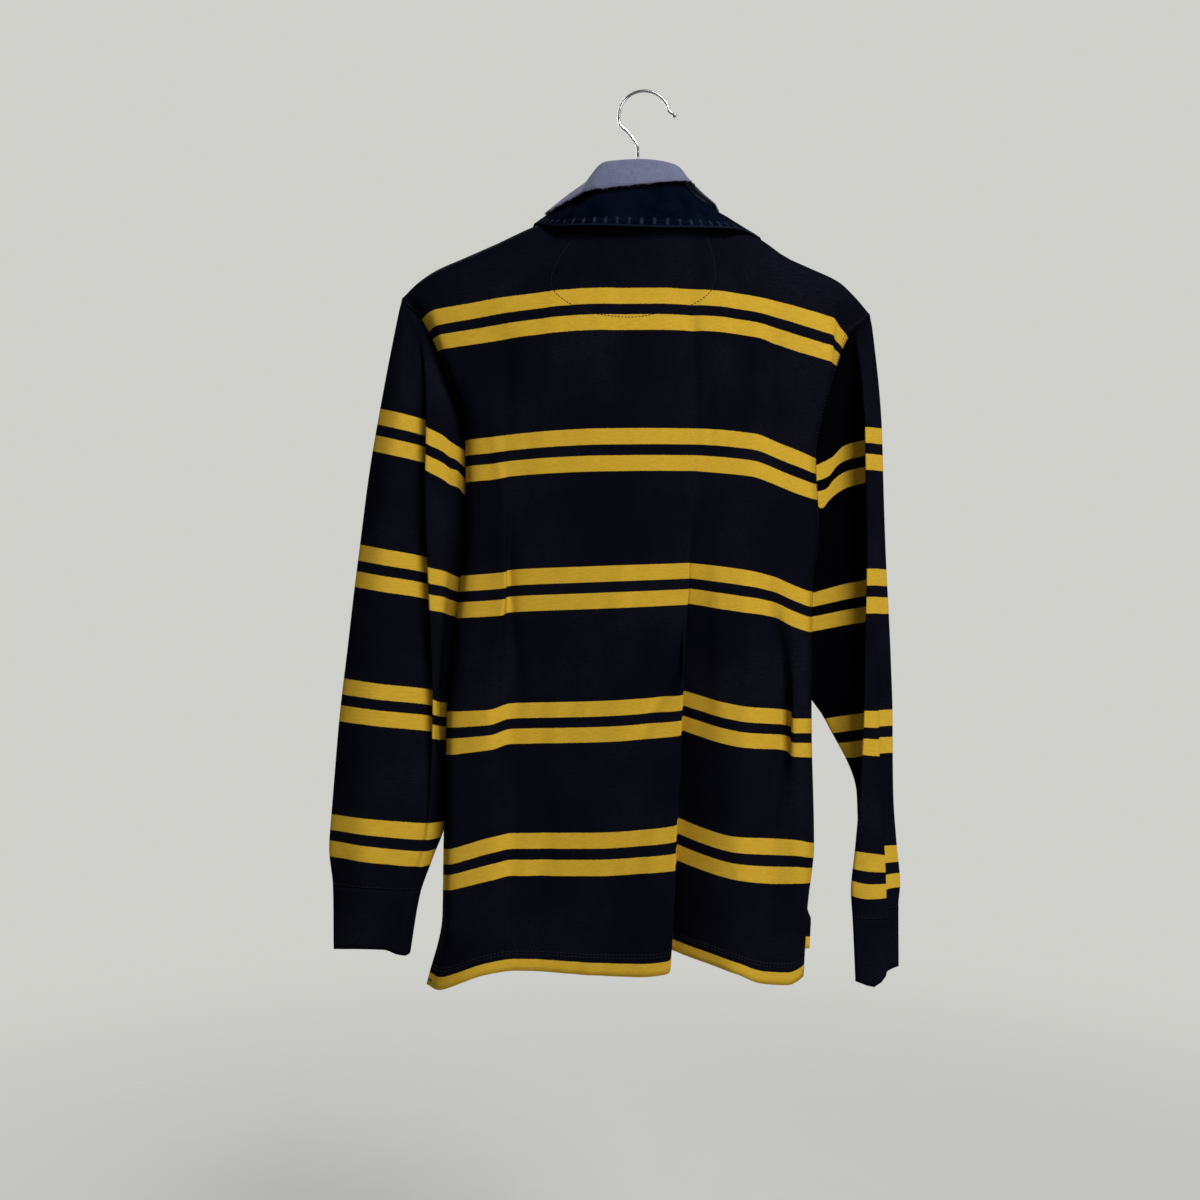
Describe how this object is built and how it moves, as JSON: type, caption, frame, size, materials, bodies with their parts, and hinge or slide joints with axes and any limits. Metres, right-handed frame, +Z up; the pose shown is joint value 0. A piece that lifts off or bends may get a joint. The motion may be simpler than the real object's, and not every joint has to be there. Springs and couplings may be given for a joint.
{
  "type": "long-sleeved rugby shirt on a hanger",
  "caption": "Long-sleeved striped jersey shirt with a turned-down collar and button placket, hanging on a wooden hanger with a wire hook.",
  "frame": {"origin": "inside top of the hanger's hook, where it bears on what it hangs from", "axes": "+Z up; +X to the right of someone who looks at the shirt's back; the back faces -Y and the front +Y"},
  "size_m": [0.5739, 0.0924, 0.8936],
  "materials": {
    "navy_jersey": "matt cotton jersey, navy with yellow stripes",
    "navy_twill": "matt cotton twill, navy",
    "chambray": "slubby blue-grey chambray",
    "rubber": "satin",
    "beech": "satin varnish",
    "chrome": "polished"
  },
  "bodies": {
    "root": {"back": "navy_jersey", "front": "navy_jersey", "sleeve_left": "navy_jersey", "sleeve_right": "navy_jersey", "cuff_left": "navy_jersey", "cuff_right": "navy_jersey", "placket": "navy_jersey", "collar_fall": "navy_twill", "neckband": "chambray", "button_1": "rubber", "button_2": "rubber", "button_3": "rubber", "hanger_body": "beech", "hanger_hook": "chrome"}
  },
  "joints": []
}
